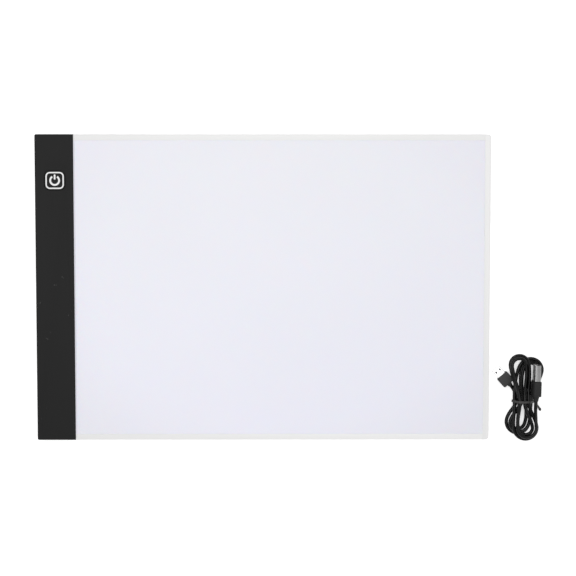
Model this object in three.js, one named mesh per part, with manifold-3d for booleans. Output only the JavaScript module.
// An LED tracing pad: a thin white light panel with a black control strip along its left edge,
// and its USB lead lying beside it in a tied hank. Millimetres, +Z up. X runs along the pad
// from the strip to the far edge, Y towards the rear edge, and the origin is the middle of
// the pad's footprint, on the table.
import * as THREE from "three";
import { mergeVertices } from "three/addons/utils/BufferGeometryUtils.js";
import Module from "manifold-3d";

const wasm = await Module();
wasm.setup();

// Driving sizes of the pad.
const padLength = 344;
const padDepth = 232;
const stripWidth = 29;
const stripCornerRadius = 1.2;
const coverWall = 1.2;
const topLip = 0.8;
const bottomLip = 0.9;
const panelInsert = 4.5;
const boardThickness = 0.8;
const reflectorThickness = 0.25;
const guideThickness = 2.5;
const diffuserThickness = 0.3;
const surfaceThickness = 0.8;
const tapeWidth = 4.5;
const tapeThickness = 0.25;
const panelCorner = 2.2;
const seamTapeWidth = 1.1;
const fitGap = 0.3;
const fineGap = 0.1;
const cutOverrun = 1;
const mergeDistance = 1e-4;
const cornerSteps = 5;
const fineCornerSteps = 2;

// Feet.
const footHeight = 1.2;
const stripFootRadius = 4;
const panelFootRadius = 5;
const stripFootInset = 16;
const panelFootInset = 22;
const footSides = 20;

// Power key and its switch.
const keyFromLeft = 15;
const keyFromRear = 34.7;
const keyWidth = 15.6;
const keyDepth = 14.6;
const keyCornerRadius = 4.2;
const keyProud = 0.15;
const keyFlangeThickness = 0.6;
const keyFlangeReach = 1.2;
const keyFlangeWidth = 10;
const keyTravel = 0.4;
const keyRestGap = 0.15;
const printThickness = 0.1;
const printLine = 1.3;
const outlineWidth = 13.8;
const outlineDepth = 12.8;
const outlineLine = 1;
const symbolOuterRadius = 4.05;
const symbolInnerRadius = 2.65;
const symbolGapAngle = 1.15;
const symbolSteps = 20;
const barLength = 3.9;
const barOverReach = 0.5;
const switchSide = 5;
const switchHeight = 1.1;
const plungerRadius = 1.3;
const plungerWellRadius = 1.6;
const plungerDip = 0.25;

// Control board and what it carries.
const pcbThickness = 1;
const pcbLength = 62;
const pcbWidth = 15.4;
const pcbSideGap = 0.9;
const pcbRearGap = 0.6;
const pcbStandoff = 0.3;
const ribWidth = 2;
const chipSize = [5, 4, 1.5];
const coilSize = [5, 5, 2];
const capSize = [3.2, 1.6, 1.2];
const transistorSize = [3, 1.6, 1.1];
const resistorSize = [3.2, 6, 0.6];

// Micro USB socket in the strip's rear wall.
const socketWidth = 7.5;
const socketHeight = 2.5;
const socketDepth = 5.4;
const socketWall = 0.3;
const socketFromKey = -3;
const socketRecess = 0.2;
const socketBlock = 1.2;
const tongueWidth = 3.7;
const tongueThickness = 0.6;
const portMargin = 0.4;

// Light row: a thin board on edge with its light chips facing the guide's end.
const ledBoardThickness = 0.6;
const ledBoardHeight = 3.2;
const ledBoardEndGap = 3;
const ledPitch = 7.5;
const ledLength = 4;
const ledHeight = 1.4;
const ledDepth = 0.7;
const ledAirGap = 0.1;
const wireRadius = 0.45;
const wirePitch = 1.8;
const wireInset = 2;
const wireReach = 14;
const wireSides = 8;
const wireSteps = 14;

// Cover screws and their bosses.
const screwRadius = 0.95;
const screwLength = 3.4;
const screwHeadRadius = 1.8;
const screwHeadHeight = 0.6;
const bossRadius = 2.3;
const bossFromLeft = 3.8;
const screwFromEnd = [8, 76];
const roundSides = 16;

// The lead: a round cord in a hank tied at its waist, a micro USB plug on one end and a
// USB-A plug on the other. Its places are taken from the waist's middle.
const cordDiameter = 2.7;
const cordSides = 6;
const waistPlace = [198.4, -86.6];
const loopSteps = 24;
const runPitch = 3.4;
const layerRise = 3.4;
const waistInner = 1.05;
const lobeInner = 4.5;
const layerTurns = 1.5;
const firstTurn = 0;
const lastTurn = 5.375;
// Where the line climbs a layer, the share of a turn that each climb takes, and where it
// moves from the lower bunch's waist to the upper bunch's.
const climbs = [
  { turn: 1.5, span: 0.5 },
  { turn: 3, span: 0.12 },
  { turn: 4.5, span: 0.5 },
];
const crossing = { turn: 2.92, span: 0.14 };
const bunchTurn = 3;
const waistLift = 1;
const liftReach = 9;
// Length of the straight runs above and below the waist, the sideways lean of their folds
// and the shift of their waist, for the lower two layers and the upper two.
const lowerBunch = { top: 23.6, bottom: 16.6, leanTop: 4.2, leanBottom: -4.7, shift: 1.6 };
const upperBunch = { top: 28, bottom: 20, leanTop: -3, leanBottom: 2.7, shift: -0.9 };
const leanPower = 1.5;

// The cord's free ends: points between the hank and each plug, chosen by hand.
const tailSides = 8;
const tailGap = 0.3;
const microTailRoute = [
  [-7.3, 9.1, 1.75],
  [-5.9, 6.6, 1.45],
  [-4.8, 4.7, 1.6],
];
const usbTailRoute = [
  [8.7, -12, 11.3],
  [8.3, -6.5, 12.3],
];

// Micro USB plug, lying flat: width, length, thickness of its grip and of its metal tip.
const microGrip = [9.6, 8.6, 5.3];
const microGripCorner = 1;
const microShell = [6.9, 7.2, 1.85];
const microShellWall = 0.3;
const microShellCorner = 0.5;
const microCorePart = 0.45;
const microPlace = [-13.4, 16.4];
const microTurn = 0.73;
const microReliefLength = 1.6;
const microReliefRadii = [2.1, 1.8];

// USB-A plug, lying on its narrow side upon the lower bunch: thickness, length and height.
const usbGrip = [6, 11.5, 14];
const usbGripCorner = 1.6;
const usbShell = [4.5, 12, 12];
const usbShellWall = 0.3;
const usbCoreThickness = 1.9;
const usbCoreShort = 0.6;
const usbPlace = [8.6, 16.5];
const usbTurn = -0.02;
const usbReliefLength = 4;
const usbReliefRadii = [2.6, 1.8];

// Twist tie round the waist, and its twisted ends.
const tieWidth = 1.7;
const tieThickness = 0.5;
const tieTurn = -0.05;
const tieTurns = [0, 0.5, 2.5, 3.5, 5, 3];
const tieEndRadius = 0.75;
const tieEndSides = 6;
const tieEndSteps = 8;
// The twisted ends' reach to the right of the tie's side and towards the front, and their level.
const tieEndRoute = [
  [1.9, -2.2, 3.2],
  [3.9, -4.9, 2.4],
  [6, -7.6, 1],
];

// Levels, from the table up.
const stripBottom = footHeight;
const panelBottom = stripBottom + bottomLip;
const panelThickness =
  boardThickness + reflectorThickness + guideThickness + diffuserThickness + surfaceThickness;
const panelTop = panelBottom + panelThickness;
const stripTop = panelTop + topLip;
const parting = (stripBottom + stripTop) / 2;
const floorInside = stripBottom + coverWall;
const ceilingInside = stripTop - coverWall;
const pcbBottom = floorInside + pcbStandoff;
const pcbTop = pcbBottom + pcbThickness;

// Places along X and Y.
const left = -padLength / 2;
const right = padLength / 2;
const rear = padDepth / 2;
const stripRight = left + stripWidth;
const panelLeft = stripRight - panelInsert;
const stackRight = right - tapeThickness;
const stackRear = rear - tapeThickness;
const keyX = left + keyFromLeft;
const keyY = rear - keyFromRear;
const ledFace = panelLeft - ledAirGap;
const ledBoardRight = ledFace - ledDepth;
const ledBoardLeft = ledBoardRight - ledBoardThickness;
const cavityRight = panelLeft - fineGap;
const pcbRight = ledBoardLeft - pcbSideGap;
const pcbRear = rear - coverWall - pcbRearGap;
const socketX = keyX + socketFromKey;
const socketMouth = rear - socketRecess;
const bossX = left + bossFromLeft;
const screwPlaces = screwFromEnd.flatMap((inset) => [
  [bossX, rear - inset],
  [bossX, inset - rear],
]);

const material = (color, roughness, metalness = 0) =>
  new THREE.MeshStandardMaterial({ color, roughness, metalness });
const paints = {
  housing: material(0x2a2a2b, 0.6),
  key: material(0x2c2c2d, 0.5),
  print: material(0xf2f2f0, 0.5),
  surface: material(0xe9e8f0, 0.35),
  sheet: material(0xf4f4f6, 0.6),
  guide: material(0xdfe8ea, 0.1),
  board: material(0xe6e6e4, 0.6),
  tape: material(0xe8e5e2, 0.5),
  rubber: material(0x1d1d1e, 0.9),
  pcb: material(0x1f5a34, 0.5),
  chip: material(0x18181a, 0.5),
  part: material(0x8c7b63, 0.6),
  metal: material(0xc9cacc, 0.3, 1),
  cord: material(0x1c1c1d, 0.45),
  grip: material(0x303133, 0.55),
  red: material(0xa81f1c, 0.5),
  tie: material(0x35312f, 0.7),
};

const pad = new THREE.Group();
const lead = new THREE.Group();
lead.position.set(waistPlace[0], waistPlace[1], 0);
const tracingPad = new THREE.Group();
tracingPad.add(pad, lead);

// A closed geometry as a solid that can be joined and cut, and back.
function solid(geometry) {
  const bare = geometry.clone();
  bare.deleteAttribute("normal");
  bare.deleteAttribute("uv");
  const merged = mergeVertices(bare, mergeDistance);
  return new wasm.Manifold(
    new wasm.Mesh({
      numProp: 3,
      vertProperties: new Float32Array(merged.attributes.position.array),
      triVerts: new Uint32Array(merged.index.array),
    }),
  );
}

function geometryOf(shape) {
  const mesh = shape.getMesh();
  const geometry = new THREE.BufferGeometry();
  geometry.setAttribute("position", new THREE.BufferAttribute(mesh.vertProperties, 3));
  geometry.setIndex(new THREE.BufferAttribute(mesh.triVerts, 1));
  geometry.computeVertexNormals();
  return geometry;
}

const joined = (...parts) => parts.reduce((whole, part) => whole.add(part));
const cut = (body, ...tools) => tools.reduce((rest, tool) => rest.subtract(tool), body);

function place(group, name, geometry, paint, position = [0, 0, 0]) {
  const mesh = new THREE.Mesh(geometry, paint);
  mesh.name = name;
  mesh.position.set(...position);
  group.add(mesh);
  return mesh;
}

// A box between two corners.
function block(x0, x1, y0, y1, z0, z1) {
  const box = new THREE.BoxGeometry(x1 - x0, y1 - y0, z1 - z0);
  return box.translate((x0 + x1) / 2, (y0 + y1) / 2, (z0 + z1) / 2);
}

// An upright cylinder between two levels.
function post(x, y, radius, z0, z1, sides = roundSides) {
  const cylinder = new THREE.CylinderGeometry(radius, radius, z1 - z0, sides);
  return cylinder.rotateX(Math.PI / 2).translate(x, y, (z0 + z1) / 2);
}

// A rectangle with round corners, centred on a point.
function roundedRectangle(width, depth, radius, x = 0, y = 0, kind = THREE.Shape) {
  const shape = new kind();
  const w = width / 2;
  const d = depth / 2;
  shape.moveTo(x - w + radius, y - d);
  shape.lineTo(x + w - radius, y - d);
  shape.absarc(x + w - radius, y - d + radius, radius, -Math.PI / 2, 0);
  shape.lineTo(x + w, y + d - radius);
  shape.absarc(x + w - radius, y + d - radius, radius, 0, Math.PI / 2);
  shape.lineTo(x - w + radius, y + d);
  shape.absarc(x - w + radius, y + d - radius, radius, Math.PI / 2, Math.PI);
  shape.lineTo(x - w, y - d + radius);
  shape.absarc(x - w + radius, y - d + radius, radius, Math.PI, (3 * Math.PI) / 2);
  return shape;
}

function raised(shape, z0, z1, curveSegments = cornerSteps) {
  const geometry = new THREE.ExtrudeGeometry(shape, {
    depth: z1 - z0,
    bevelEnabled: false,
    curveSegments,
  });
  return geometry.translate(0, 0, z0);
}

// The strip's plan: outer corners round, the side towards the panel square.
function stripPlan() {
  const r = stripCornerRadius;
  const shape = new THREE.Shape();
  shape.moveTo(stripRight, -rear);
  shape.lineTo(stripRight, rear);
  shape.lineTo(left + r, rear);
  shape.absarc(left + r, rear - r, r, Math.PI / 2, Math.PI);
  shape.lineTo(left, r - rear);
  shape.absarc(left + r, r - rear, r, Math.PI, (3 * Math.PI) / 2);
  return shape;
}

// The room inside the strip, and the slot that the panel's left edge slides into.
function stripRoom() {
  const inner = rear - coverWall;
  return solid(
    block(left + coverWall, cavityRight, -inner, inner, floorInside, ceilingInside),
  );
}

function panelSlot() {
  return solid(
    block(
      cavityRight - fineGap,
      stripRight + cutOverrun,
      -rear - cutOverrun,
      rear + cutOverrun,
      panelBottom,
      panelTop,
    ),
  );
}

// The hole in the rear wall that the micro USB plug's tip goes through.
function portHole() {
  const halfWidth = socketWidth / 2 + portMargin;
  const halfHeight = socketHeight / 2 + portMargin;
  return solid(
    block(
      socketX - halfWidth,
      socketX + halfWidth,
      rear - coverWall - cutOverrun,
      rear + cutOverrun,
      parting - halfHeight,
      parting + halfHeight,
    ),
  );
}

function bottomCover() {
  const shell = cut(
    solid(raised(stripPlan(), stripBottom, parting)),
    stripRoom(),
    panelSlot(),
    portHole(),
  );
  const ribs = [pcbRear - socketDepth - 2 * ribWidth, pcbRear - pcbLength + ribWidth].map((y) =>
    solid(
      block(
        pcbRight - pcbWidth + ribWidth,
        pcbRight - ribWidth,
        y - ribWidth,
        y,
        floorInside - fineGap,
        pcbBottom,
      ),
    ),
  );
  const screwHoles = screwPlaces.flatMap(([x, y]) => [
    solid(post(x, y, screwRadius + fineGap, stripBottom - cutOverrun, parting)),
    solid(
      post(
        x,
        y,
        screwHeadRadius + fineGap,
        stripBottom - cutOverrun,
        stripBottom + screwHeadHeight + fineGap,
      ),
    ),
  ]);
  return geometryOf(cut(joined(shell, ...ribs), ...screwHoles));
}

function topCover() {
  const keyHole = roundedRectangle(
    keyWidth + 2 * fitGap,
    keyDepth + 2 * fitGap,
    keyCornerRadius + fitGap,
    keyX,
    keyY,
  );
  const shell = cut(
    solid(raised(stripPlan(), parting, stripTop)),
    stripRoom(),
    panelSlot(),
    portHole(),
    solid(raised(keyHole, ceilingInside - cutOverrun, stripTop + cutOverrun)),
  );
  const bosses = screwPlaces.map(([x, y]) =>
    solid(post(x, y, bossRadius, floorInside, ceilingInside + fineGap)),
  );
  const pilots = screwPlaces.map(([x, y]) =>
    solid(
      post(
        x,
        y,
        screwRadius + fineGap,
        floorInside - cutOverrun,
        stripBottom + screwHeadHeight + screwLength + fineGap,
      ),
    ),
  );
  return geometryOf(cut(joined(shell, ...bosses), ...pilots));
}

function coverScrew(x, y) {
  const head = solid(post(x, y, screwHeadRadius, stripBottom, stripBottom + screwHeadHeight));
  const shank = solid(
    post(
      x,
      y,
      screwRadius,
      stripBottom + screwHeadHeight / 2,
      stripBottom + screwHeadHeight + screwLength,
    ),
  );
  const slotHalf = screwRadius / 3;
  const crossA = solid(
    block(
      x - screwRadius,
      x + screwRadius,
      y - slotHalf,
      y + slotHalf,
      stripBottom - cutOverrun,
      stripBottom + screwHeadHeight / 2,
    ),
  );
  const crossB = solid(
    block(
      x - slotHalf,
      x + slotHalf,
      y - screwRadius,
      y + screwRadius,
      stripBottom - cutOverrun,
      stripBottom + screwHeadHeight / 2,
    ),
  );
  return geometryOf(cut(joined(head, shank), crossA, crossB));
}

function addStrip() {
  place(pad, "strip_bottom_cover", bottomCover(), paints.housing);
  place(pad, "strip_top_cover", topCover(), paints.housing);
  screwPlaces.forEach(([x, y], index) =>
    place(pad, "cover_screw_" + (index + 1), coverScrew(x, y), paints.metal),
  );
}

// The key: a cap through the top cover, its flange kept under the cover's edge, its white
// outline and power symbol printed on top, and the switch plunger that it presses.
function addKey() {
  const top = stripTop + keyProud;
  const shoulder = ceilingInside - keyRestGap;
  const foot = shoulder - keyFlangeThickness;
  const cap = joined(
    solid(
      raised(roundedRectangle(keyWidth, keyDepth, keyCornerRadius, keyX, keyY), foot, top),
    ),
    solid(
      block(
        keyX - keyFlangeWidth / 2,
        keyX + keyFlangeWidth / 2,
        keyY - keyDepth / 2 - keyFlangeReach,
        keyY + keyDepth / 2 + keyFlangeReach,
        foot,
        shoulder,
      ),
    ),
  );
  place(pad, "power_key_cap", geometryOf(cap), paints.key);

  const outline = roundedRectangle(
    outlineWidth,
    outlineDepth,
    keyCornerRadius - (keyWidth - outlineWidth) / 2,
    keyX,
    keyY,
  );
  outline.holes.push(
    roundedRectangle(
      outlineWidth - 2 * outlineLine,
      outlineDepth - 2 * outlineLine,
      keyCornerRadius - (keyWidth - outlineWidth) / 2 - outlineLine,
      keyX,
      keyY,
      THREE.Path,
    ),
  );
  place(pad, "key_outline_print", raised(outline, top, top + printThickness), paints.print);

  const arc = new THREE.Shape();
  const start = Math.PI / 2 + symbolGapAngle / 2;
  const end = Math.PI / 2 - symbolGapAngle / 2 + 2 * Math.PI;
  arc.absarc(keyX, keyY, symbolOuterRadius, start, end);
  arc.absarc(keyX, keyY, symbolInnerRadius, end, start, true);
  place(pad, "power_symbol_arc", raised(arc, top, top + printThickness, symbolSteps), paints.print);

  const barTop = keyY + symbolOuterRadius + barOverReach;
  const bar = roundedRectangle(
    printLine,
    barLength,
    printLine / 2 - fineGap / 2,
    keyX,
    barTop - barLength / 2,
  );
  place(pad, "power_symbol_bar", raised(bar, top, top + printThickness), paints.print);

  const switchTop = pcbTop + switchHeight;
  const wellFloor = switchTop - plungerDip - keyTravel - fitGap;
  const base = cut(
    solid(
      block(
        keyX - switchSide / 2,
        keyX + switchSide / 2,
        keyY - switchSide / 2,
        keyY + switchSide / 2,
        pcbTop,
        switchTop,
      ),
    ),
    solid(post(keyX, keyY, plungerWellRadius, wellFloor, switchTop + cutOverrun)),
  );
  place(pad, "switch_base", geometryOf(base), paints.chip);
  place(
    pad,
    "switch_plunger",
    post(keyX, keyY, plungerRadius, switchTop - plungerDip, foot),
    paints.print,
  );
}

function addElectronics() {
  const pcbLeft = pcbRight - pcbWidth;
  const notchHalf = socketWidth / 2 + fitGap;
  const pcb = cut(
    solid(block(pcbLeft, pcbRight, pcbRear - pcbLength, pcbRear, pcbBottom, pcbTop)),
    solid(
      block(
        socketX - notchHalf,
        socketX + notchHalf,
        socketMouth - socketDepth - fitGap,
        pcbRear + cutOverrun,
        pcbBottom - cutOverrun,
        pcbTop + cutOverrun,
      ),
    ),
  );
  place(pad, "control_board", geometryOf(pcb), paints.pcb);

  const onBoard = (name, size, x, y, paint) =>
    place(
      pad,
      name,
      block(
        x - size[0] / 2,
        x + size[0] / 2,
        y - size[1] / 2,
        y + size[1] / 2,
        pcbTop,
        pcbTop + size[2],
      ),
      paint,
    );
  const boardMiddle = pcbRight - pcbWidth / 2;
  const frontRow = keyY - keyDepth;
  onBoard("controller_chip", chipSize, boardMiddle + chipSize[0] / 2, frontRow, paints.chip);
  onBoard("driver_coil", coilSize, boardMiddle - coilSize[0] / 2, frontRow - chipSize[1], paints.chip);
  onBoard(
    "driver_transistor",
    transistorSize,
    boardMiddle + chipSize[0] / 2,
    frontRow - 2 * chipSize[1],
    paints.chip,
  );
  onBoard("input_capacitor", capSize, boardMiddle, keyY + keyDepth - capSize[1], paints.part);
  onBoard(
    "output_capacitor",
    capSize,
    boardMiddle - capSize[0],
    frontRow - 3 * chipSize[1],
    paints.part,
  );
  onBoard("sense_resistors", resistorSize, boardMiddle + capSize[0], keyY + keyDepth, paints.chip);
}

function addSocket() {
  const shape = roundedRectangle(socketWidth, socketHeight, socketWall);
  shape.holes.push(
    roundedRectangle(
      socketWidth - 2 * socketWall,
      socketHeight - 2 * socketWall,
      socketWall / 2,
      0,
      0,
      THREE.Path,
    ),
  );
  const shell = raised(shape, 0, socketDepth, fineCornerSteps).rotateX(Math.PI / 2);
  place(pad, "usb_socket_shell", shell, paints.metal, [socketX, socketMouth, parting]);

  const back = socketMouth - socketDepth;
  const halfWidth = socketWidth / 2 - socketWall - fineGap / 2;
  const halfHeight = socketHeight / 2 - socketWall - fineGap / 2;
  const insert = joined(
    solid(
      block(
        socketX - halfWidth,
        socketX + halfWidth,
        back,
        back + socketBlock,
        parting - halfHeight,
        parting + halfHeight,
      ),
    ),
    solid(
      block(
        socketX - tongueWidth / 2,
        socketX + tongueWidth / 2,
        back,
        socketMouth - socketBlock,
        parting,
        parting + tongueThickness,
      ),
    ),
  );
  place(pad, "usb_socket_tongue", geometryOf(insert), paints.chip);
}

// The light row is one board with its chips soldered on, so it is one solid.
function addLightRow() {
  const middle = (panelBottom + panelTop) / 2;
  const reach = rear - coverWall - ledBoardEndGap;
  const board = solid(
    block(
      ledBoardLeft,
      ledBoardRight,
      -reach,
      reach,
      middle - ledBoardHeight / 2,
      middle + ledBoardHeight / 2,
    ),
  );
  const count = Math.floor((2 * reach - ledLength) / ledPitch) + 1;
  const chips = Array.from({ length: count }, (unused, index) => {
    const y = (index - (count - 1) / 2) * ledPitch;
    return solid(
      block(
        ledBoardRight - ledBoardThickness / 2,
        ledFace,
        y - ledLength / 2,
        y + ledLength / 2,
        middle - ledHeight / 2,
        middle + ledHeight / 2,
      ),
    );
  });
  place(pad, "led_bar", geometryOf(joined(board, ...chips)), paints.sheet);

  const boardEnd = pcbRear - pcbLength;
  ["lamp_wire_red", "lamp_wire_black"].forEach((name, index) => {
    const side = index * wirePitch;
    const z = pcbBottom + wireRadius;
    const start = new THREE.Vector3(pcbRight - wireInset - side, boardEnd - fitGap, z);
    const stop = new THREE.Vector3(ledBoardLeft - fitGap, boardEnd - wireReach - 2 * side, z);
    const curve = new THREE.CubicBezierCurve3(
      start,
      new THREE.Vector3(start.x, (start.y + stop.y) / 2 - side, z),
      new THREE.Vector3(start.x, stop.y, z),
      stop,
    );
    const paint = index ? paints.chip : paints.red;
    place(pad, name, tube(curve, wireRadius, wireSides, wireSteps), paint);
  });
}

// A round section drawn along a curve.
function tube(curve, radius, sides, steps) {
  const section = new THREE.Shape();
  for (let i = 0; i < sides; i++) {
    const angle = (2 * Math.PI * i) / sides;
    const x = radius * Math.cos(angle);
    const y = radius * Math.sin(angle);
    i ? section.lineTo(x, y) : section.moveTo(x, y);
  }
  return new THREE.ExtrudeGeometry(section, { steps, extrudePath: curve, bevelEnabled: false });
}

// The panel's plan right of a line, its two outer corners rounded.
function panelPlan(left, edge, half, corner) {
  const shape = new THREE.Shape();
  shape.moveTo(left, -half);
  shape.lineTo(edge - corner, -half);
  shape.absarc(edge - corner, corner - half, corner, -Math.PI / 2, 0);
  shape.lineTo(edge, half - corner);
  shape.absarc(edge - corner, half - corner, corner, 0, Math.PI / 2);
  shape.lineTo(left, half);
  return shape;
}

const stackPlan = (left) =>
  panelPlan(left, stackRight, stackRear, panelCorner - tapeThickness);

function addPanel() {
  const layers = [
    ["back_board", boardThickness, paints.board],
    ["reflector_sheet", reflectorThickness, paints.sheet],
    ["light_guide_plate", guideThickness, paints.guide],
    ["diffuser_sheet", diffuserThickness, paints.sheet],
    ["drawing_surface", surfaceThickness, paints.surface],
  ];
  let level = panelBottom;
  for (const [name, thickness, paint] of layers) {
    place(pad, name, raised(stackPlan(panelLeft), level, level + thickness), paint);
    level += thickness;
  }
}

// White tape folded round the panel's three free edges, and the narrow strip beside the cover.
function addTape() {
  const under = panelBottom - tapeThickness;
  const over = panelTop + tapeThickness;
  const inner = right - tapeWidth;
  for (const side of [1, -1]) {
    const band = (x0, x1, a, b, z0, z1) =>
      solid(block(x0, x1, Math.min(side * a, side * b), Math.max(side * a, side * b), z0, z1));
    const folded = joined(
      band(stripRight, inner, rear - tapeWidth, rear, panelTop, over),
      band(stripRight, inner, rear - tapeWidth, rear, under, panelBottom),
      band(stripRight, inner, stackRear, rear, panelBottom, panelTop),
    );
    place(pad, side > 0 ? "edge_tape_rear" : "edge_tape_front", geometryOf(folded), paints.tape);
  }
  const end = cut(
    solid(raised(panelPlan(inner, right, rear, panelCorner), under, over)),
    solid(raised(stackPlan(inner - cutOverrun), panelBottom, panelTop)),
  );
  place(pad, "edge_tape_right", geometryOf(end), paints.tape);
  const reach = rear - tapeWidth;
  const seam = block(stripRight, stripRight + seamTapeWidth, -reach, reach, panelTop, over);
  place(pad, "seam_tape_left", seam, paints.tape);
}

function addFeet() {
  for (const [side, word] of [
    [1, "rear"],
    [-1, "front"],
  ]) {
    const stripY = side * (rear - stripFootInset);
    const panelY = side * (rear - panelFootInset);
    const stripFoot = post(keyX, stripY, stripFootRadius, 0, stripBottom, footSides);
    const panelFoot = post(
      right - panelFootInset,
      panelY,
      panelFootRadius,
      0,
      panelBottom,
      footSides,
    );
    place(pad, "foot_" + word + "_left", stripFoot, paints.rubber);
    place(pad, "foot_" + word + "_right", panelFoot, paints.rubber);
  }
}

const smooth = (t) => {
  const v = Math.min(1, Math.max(0, t));
  return v * v * (3 - 2 * v);
};

// How far out the spiral is at a turn, in pitches: it winds in over one layer, out over the next.
function spiralStep(turn) {
  const period = 2 * layerTurns;
  const phase = (((turn - climbs[0].turn) % period) + period) % period;
  return phase < layerTurns ? phase : period - phase;
}

// How far a turn has climbed, in layers, and how far it has moved to the upper bunch.
const passed = (turn, stretch) => smooth((turn - stretch.turn) / stretch.span + 0.5);
const layerOf = (turn) => climbs.reduce((sum, climb) => sum + passed(turn, climb), 0);
const upperShare = (turn) => passed(turn, crossing);

// A point of the plain loop: how far it is across from the middle, and along from the waist.
// A turn starts on the left run at the waist and goes down, round the bottom fold, up the
// right run and round the top fold. A run takes six steps, and so does a fold.
function loopPlace(share, radius, bunch) {
  const eighth = 1 / 8;
  const inBottom = share > eighth && share < 3 * eighth;
  const inTop = share > 5 * eighth && share < 7 * eighth;
  if (inBottom || inTop) {
    const angle = (Math.PI * (share - (inTop ? 5 : 1) * eighth)) / (2 * eighth);
    const side = inTop ? 1 : -1;
    const reach = inTop ? bunch.top : bunch.bottom;
    return [side * radius * Math.cos(angle), side * (reach + radius * Math.sin(angle))];
  }
  const onRight = share > 2 * eighth && share < 6 * eighth;
  const fromWaist = onRight ? share - 4 * eighth : share < 4 * eighth ? -share : 8 * eighth - share;
  const reach = fromWaist > 0 ? bunch.top : bunch.bottom;
  const stretch = fromWaist / eighth;
  const drawn = (lobeInner - waistInner) * Math.cos((Math.PI * stretch) / 2) ** 2;
  return [(onRight ? 1 : -1) * (radius - drawn), stretch * reach];
}

// The bunch's middle line leans away from the waist, and the loops stay square to it.
function leaned(across, along, bunch) {
  const side = Math.sign(along) || 1;
  const reach = side > 0 ? bunch.top : bunch.bottom;
  const lean = side > 0 ? bunch.leanTop : bunch.leanBottom;
  const high = Math.min(1, Math.abs(along) / reach);
  const slope = ((leanPower * lean) / reach) * high ** (leanPower - 1);
  const beyond = Math.max(0, Math.abs(along) - reach);
  const length = Math.hypot(1, slope);
  return [
    lean * high ** leanPower + (across + beyond * slope) / length,
    side * (high * reach + (beyond - across * slope) / length),
  ];
}

const liftAt = (y) => waistLift * (1 - smooth(Math.abs(y) / liftReach));
const flatHalf = (cordDiameter / 2) * Math.cos(Math.PI / cordSides);

function hankPoint(turn) {
  const bunch = turn < bunchTurn ? lowerBunch : upperBunch;
  const radius = lobeInner + runPitch * spiralStep(turn);
  const [x, y] = leaned(...loopPlace(((turn % 1) + 1) % 1, radius, bunch), bunch);
  const shift = THREE.MathUtils.lerp(lowerBunch.shift, upperBunch.shift, upperShare(turn));
  return new THREE.Vector3(x + shift, y, flatHalf + liftAt(y) + layerRise * layerOf(turn));
}

// The point that lies past an end, on the line that comes from its neighbour.
const beyond = (end, neighbour, distance) =>
  end.clone().add(end.clone().sub(neighbour).setLength(distance));

// The hank's line, with a straight bit on each end.
function hankLine() {
  const steps = Math.round((lastTurn - firstTurn) * loopSteps);
  const points = Array.from({ length: steps + 1 }, (unused, i) =>
    hankPoint(firstTurn + i / loopSteps),
  );
  const nearby = 0.01;
  points.unshift(beyond(points[0], hankPoint(firstTurn + nearby), cordDiameter / 2));
  points.push(beyond(points[points.length - 1], hankPoint(lastTurn - nearby), cordDiameter));
  return points;
}

// One closed tube of flat-bottomed rings along a line of points.
function ringTube(points, radius, sides) {
  const positions = [];
  const faces = [];
  const up = new THREE.Vector3(0, 0, 1);
  points.forEach((point, i) => {
    const ahead = points[Math.min(i + 1, points.length - 1)];
    const behind = points[Math.max(i - 1, 0)];
    const tangent = ahead.clone().sub(behind).normalize();
    const across = tangent.clone().cross(up).normalize();
    const rise = across.clone().cross(tangent);
    for (let k = 0; k < sides; k++) {
      const angle = (2 * Math.PI * (k + 0.5)) / sides + Math.PI / 2;
      const corner = point
        .clone()
        .addScaledVector(across, radius * Math.cos(angle))
        .addScaledVector(rise, radius * Math.sin(angle));
      positions.push(corner.x, corner.y, corner.z);
    }
  });
  for (let i = 0; i < points.length - 1; i++)
    for (let k = 0; k < sides; k++) {
      const a = i * sides + k;
      const b = i * sides + ((k + 1) % sides);
      faces.push(a, b + sides, b, a, a + sides, b + sides);
    }
  const last = (points.length - 1) * sides;
  for (let k = 1; k < sides - 1; k++) {
    faces.push(0, k, k + 1);
    faces.push(last, last + k + 1, last + k);
  }
  const geometry = new THREE.BufferGeometry();
  geometry.setAttribute("position", new THREE.Float32BufferAttribute(positions, 3));
  geometry.setIndex(faces);
  geometry.computeVertexNormals();
  return geometry;
}

// The least gap of a cord to itself, and its length, measured on close points of its line.
function measureCord(points) {
  const close = [];
  const spacing = cordDiameter / 4;
  let length = 0;
  for (let i = 0; i < points.length - 1; i++) {
    const step = points[i].distanceTo(points[i + 1]);
    const count = Math.ceil(step / spacing);
    for (let k = 0; k < count; k++) {
      close.push([points[i].clone().lerp(points[i + 1], k / count), length + (step * k) / count]);
    }
    length += step;
  }
  let least = Infinity;
  const near = 4 * cordDiameter;
  close.forEach(([p, at], i) => {
    for (let j = i + 1; j < close.length; j++) {
      if (close[j][1] - at < near) continue;
      least = Math.min(least, p.distanceTo(close[j][0]) - cordDiameter);
    }
  });
  return { length, least };
}

// A curve through points of the lead that lie free, chosen by hand.
const freeCurve = (points) => new THREE.CatmullRomCurve3(points, false, "centripetal");
const freePoints = (places) => places.map((place) => new THREE.Vector3(...place));

function addHank() {
  const line = hankLine();
  const { length, least } = measureCord(line);
  console.log(
    "hank: " + length.toFixed(0) + " mm of cord, least gap to itself " + least.toFixed(2) + " mm",
  );
  place(lead, "lead_hank", ringTube(line, cordDiameter / 2, cordSides), paints.cord);
  return line;
}

// A tapered sleeve behind a plug's grip, along -Y from a place on its rear face.
function sleeve([rootRadius, endRadius], length, y, z) {
  const cone = new THREE.CylinderGeometry(rootRadius, endRadius, length, roundSides);
  return cone.translate(0, y - length / 2, z);
}

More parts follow.
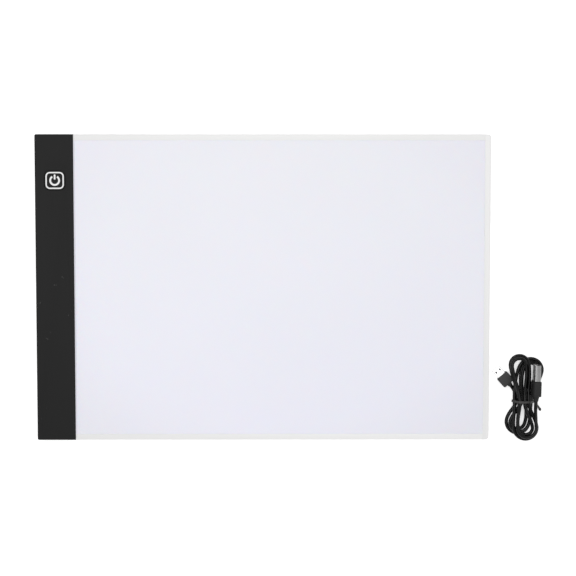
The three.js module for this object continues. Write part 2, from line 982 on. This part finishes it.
// A rectangular tube with its mouth towards +Y.
function plugShell(width, height, length, wall, corner) {
  const shape = roundedRectangle(width, height, corner);
  shape.holes.push(
    roundedRectangle(width - 2 * wall, height - 2 * wall, corner - wall / 2, 0, 0, THREE.Path),
  );
  return raised(shape, -length, 0, fineCornerSteps).rotateX(Math.PI / 2);
}

// Where a plug's cord leaves its sleeve, in the lead's frame.
function cordExit(group, y, z) {
  group.updateMatrix();
  return new THREE.Vector3(0, y, z).applyMatrix4(group.matrix);
}

function addMicroPlug() {
  const plug = new THREE.Group();
  plug.position.set(microPlace[0], microPlace[1], 0);
  plug.rotation.z = microTurn;
  lead.add(plug);
  const [width, length, thickness] = microGrip;
  const middle = thickness / 2;
  const gripPlan = roundedRectangle(width, length, microGripCorner);
  place(plug, "micro_plug_grip", raised(gripPlan, 0, thickness), paints.grip);
  const shell = plugShell(
    microShell[0],
    microShell[2],
    microShell[1],
    microShellWall,
    microShellCorner,
  );
  const front = length / 2 + fineGap;
  place(plug, "micro_plug_shell", shell, paints.metal, [0, front, middle]);
  const halfCore = microShell[0] / 2 - microShellWall - fineGap;
  const core = block(
    -halfCore,
    halfCore,
    front,
    front + microShell[1] - microCorePart,
    middle - microShell[2] / 2 + microShellWall + fineGap,
    middle - microShell[2] / 2 + microShellWall + fineGap + microCorePart,
  );
  place(plug, "micro_plug_core", core, paints.chip);
  const root = -length / 2 - fineGap;
  const relief = sleeve(microReliefRadii, microReliefLength, root, middle);
  place(plug, "micro_plug_relief", relief, paints.grip);
  const exit = root - microReliefLength - tailGap;
  return [exit, exit - cordDiameter / 3].map((y) => cordExit(plug, y, middle));
}

function addUsbPlug() {
  const [thickness, length, height] = usbGrip;
  const level = 2 * flatHalf + layerRise + liftAt(usbPlace[1] - length) + tailGap + fineGap;
  const plug = new THREE.Group();
  plug.position.set(usbPlace[0], usbPlace[1], level);
  plug.rotation.z = usbTurn;
  lead.add(plug);
  const middle = height / 2;
  const profile = roundedRectangle(thickness, height, usbGripCorner, 0, middle);
  const grip = raised(profile, 0, length).rotateX(Math.PI / 2);
  place(plug, "usb_plug_grip", grip, paints.grip);
  const shell = plugShell(usbShell[0], usbShell[2], usbShell[1], usbShellWall, usbShellWall);
  place(plug, "usb_plug_shell", shell, paints.metal, [0, fineGap, middle]);
  const side = usbShell[0] / 2 - usbShellWall - fineGap;
  const halfCore = usbShell[2] / 2 - usbShellWall - fineGap;
  const core = block(
    -side,
    usbCoreThickness - side,
    fineGap,
    fineGap + usbShell[1] - usbCoreShort,
    middle - halfCore,
    middle + halfCore,
  );
  place(plug, "usb_plug_core", core, paints.print);
  const root = -length - fineGap;
  const relief = sleeve(usbReliefRadii, usbReliefLength, root, middle);
  place(plug, "usb_plug_relief", relief, paints.grip);
  const exit = root - usbReliefLength - tailGap;
  return [exit - cordDiameter, exit].map((y) => cordExit(plug, y, middle));
}

// The cord's free ends, between the hank and each plug.
function addTails(line, microExit, usbExit) {
  const last = line.length - 1;
  const gaps = [tailGap, tailGap + cordDiameter / 3];
  const fromEnd = gaps.map((gap) => beyond(line[last], line[last - 1], gap));
  const toStart = gaps.map((gap) => beyond(line[0], line[1], gap)).reverse();
  const tails = {
    lead_tail_micro: [...microExit, ...freePoints(microTailRoute), ...toStart],
    lead_tail_usb: [...fromEnd, ...freePoints(usbTailRoute), ...usbExit],
  };
  for (const [name, points] of Object.entries(tails)) {
    const curve = freeCurve(points);
    const steps = Math.round(curve.getLength() / cordDiameter) + 1;
    place(lead, name, tube(curve, cordDiameter / 2, tailSides, steps), paints.cord);
    console.log(name + ": " + curve.getLength().toFixed(1) + " mm");
  }
}

// A closed outline at a distance from a ring of points, listed counter-clockwise.
function outlineRound(corners, distance, kind) {
  const shape = new kind();
  corners.forEach(([x, y], i) => {
    const [px, py] = corners[(i + corners.length - 1) % corners.length];
    const [nx, ny] = corners[(i + 1) % corners.length];
    const into = Math.atan2(y - py, x - px) - Math.PI / 2;
    const out = Math.atan2(ny - y, nx - x) - Math.PI / 2;
    shape.absarc(x, y, distance, into, out < into ? out + 2 * Math.PI : out);
  });
  return shape;
}

// The tie is drawn tight round the outermost cords of the waist, which stand here across and up.
function addTie() {
  const outermost = tieTurns.map((turn) => hankPoint(turn));
  const ring = outermost.map((p) => [p.x, p.z]);
  const lowRight = outermost[1];
  const inside = cordDiameter / 2 + tailGap;
  const band = outlineRound(ring, inside + tieThickness, THREE.Shape);
  band.holes.push(outlineRound(ring, inside, THREE.Path));
  const loop = raised(band, -tieWidth / 2, tieWidth / 2);
  loop.rotateX(Math.PI / 2).rotateZ(tieTurn);
  const knot = lowRight.x + inside + tieThickness;
  const ends = freeCurve(
    freePoints([[knot, 0, lowRight.z], ...tieEndRoute.map(([x, y, z]) => [knot + x, y, z])]),
  );
  const twisted = tube(ends, tieEndRadius, tieEndSides, tieEndSteps);
  place(lead, "twist_tie", geometryOf(joined(solid(loop), solid(twisted))), paints.tie);
}

addStrip();
addKey();
addElectronics();
addSocket();
addLightRow();
addPanel();
addTape();
addFeet();
const hank = addHank();
addTails(hank, addMicroPlug(), addUsbPlug());
addTie();

export default tracingPad;
